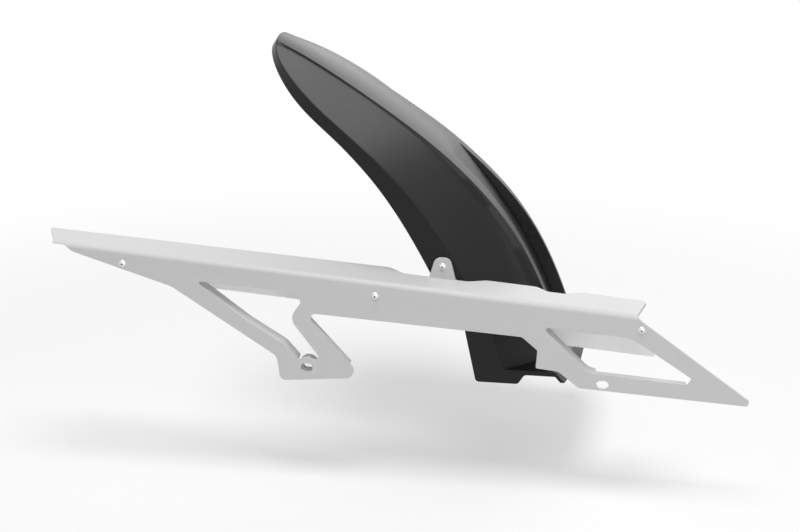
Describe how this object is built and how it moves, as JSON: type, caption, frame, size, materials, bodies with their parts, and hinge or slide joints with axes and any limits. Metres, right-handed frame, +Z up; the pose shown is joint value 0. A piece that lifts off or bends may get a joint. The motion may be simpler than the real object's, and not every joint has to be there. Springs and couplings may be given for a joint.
{
  "type": "rear hugger mudguard",
  "caption": "Black moulded hugger mudguard riveted to a pale grey chain guard with slotted swingarm holes, windows and an inner chain liner.",
  "frame": {"origin": "midway between the two swingarm slots, on the outer face of the guard's web", "axes": "+X forward along the slots, +Y inward across the wheel, +Z up"},
  "size_m": [0.528, 0.1939, 0.2417],
  "materials": {
    "hugger_black": "satin black moulding",
    "guard_grey": "matte light grey coating",
    "liner_pale": "pale matte plastic",
    "rivet_metal": "bright bare aluminium",
    "washer_steel": "plain steel"
  },
  "bodies": {
    "root": {"hugger_shell": "hugger_black", "chain_guard": "guard_grey", "chain_liner": "liner_pale", "liner_rivets": "rivet_metal", "tab_rivet": "rivet_metal", "backing_washer": "washer_steel"}
  },
  "joints": []
}
